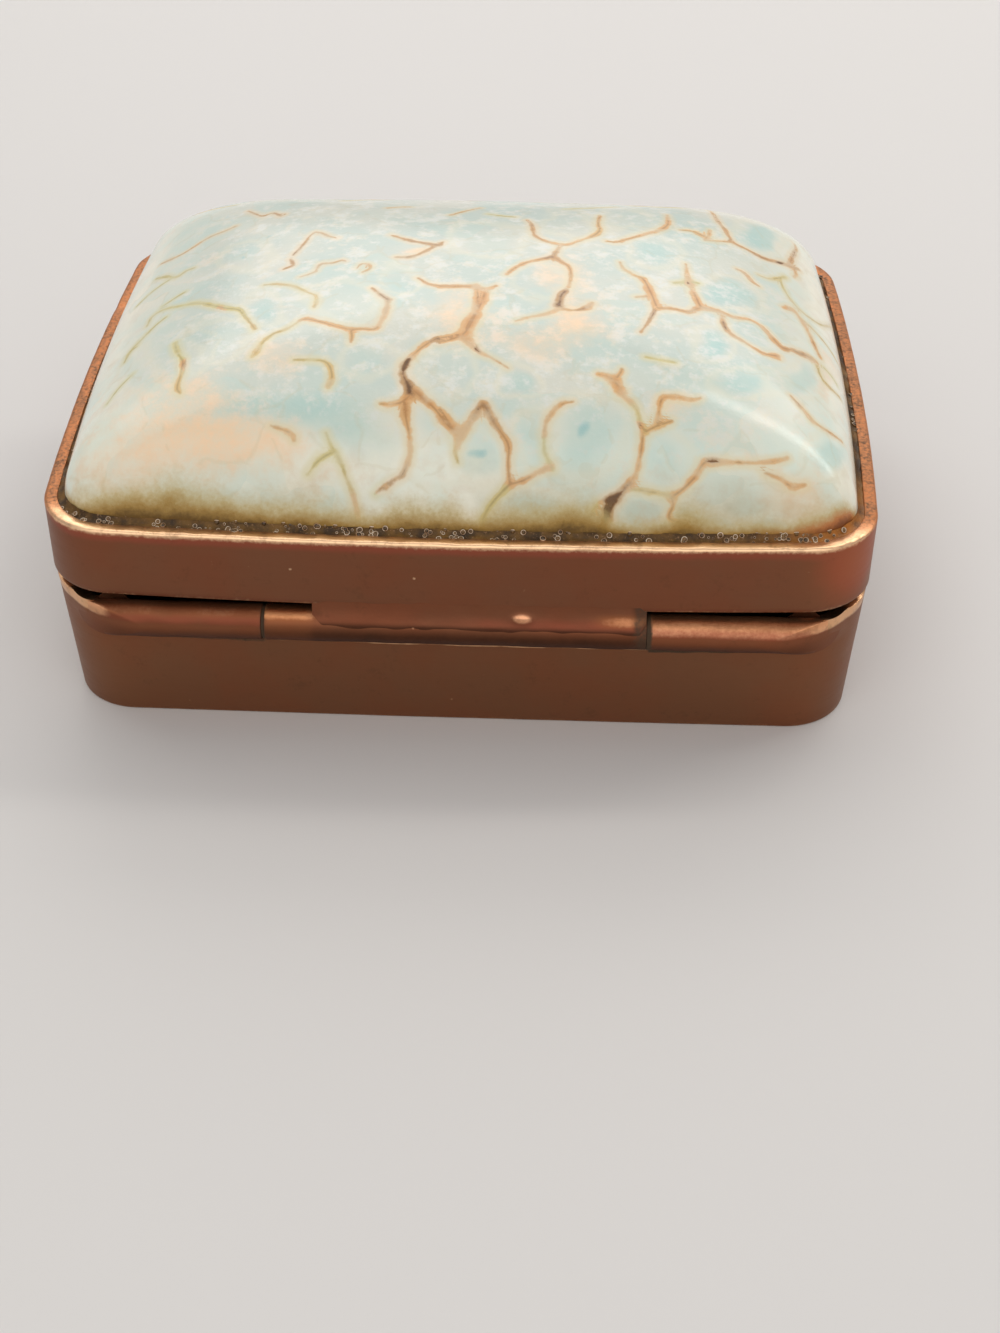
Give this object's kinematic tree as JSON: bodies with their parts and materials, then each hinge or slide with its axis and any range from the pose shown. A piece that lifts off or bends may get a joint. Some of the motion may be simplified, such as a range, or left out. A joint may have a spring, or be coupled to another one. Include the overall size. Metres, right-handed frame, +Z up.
{
  "type": "stamp box",
  "caption": "Small rectangular metal stamp box with a hinged lid that carries a cushion-shaped turquoise matrix glass stone.",
  "frame": {"origin": "middle of the underside, on the surface that the box stands on", "axes": "+X along the hinge, +Y from the hinge side to the opening side, +Z up"},
  "size_m": [0.0432, 0.0345, 0.0189],
  "materials": {
    "lid_brass": "tarnished, satin, bright on the worn rim",
    "base_brass": "tarnished, dull satin",
    "hinge_brass": "rubbed, reddish, bright along the crest",
    "gilt_inside": "clean satin, less tarnished than the outside",
    "pin_steel": "drawn wire",
    "solder": "dull, grimy, flowed",
    "cement": "hard amber cement with small bubbles and grit",
    "turquoise_glass": "opaque polished glass, pale turquoise with ochre veins"
  },
  "bodies": {
    "base": {"base_wall": "base_brass", "base_floor": "base_brass", "closing_collar": "gilt_inside", "stamp_rest": "gilt_inside", "left_hinge_knuckle": "hinge_brass", "right_hinge_knuckle": "hinge_brass", "hinge_pin": "pin_steel"},
    "lid": {"centre_hinge_knuckle": "hinge_brass", "hinge_solder": "solder", "lid_wall": "lid_brass", "lid_plate": "gilt_inside", "cement_bed": "cement", "glass_cabochon": "turquoise_glass", "thumb_lip": "lid_brass"}
  },
  "joints": [
    {"name": "lid_hinge", "type": "hinge", "parent": "base", "child": "lid", "pos_m": [0, -0.01615, 0.0065], "axis": [1, 0, 0], "range_deg": [0, 110]}
  ]
}
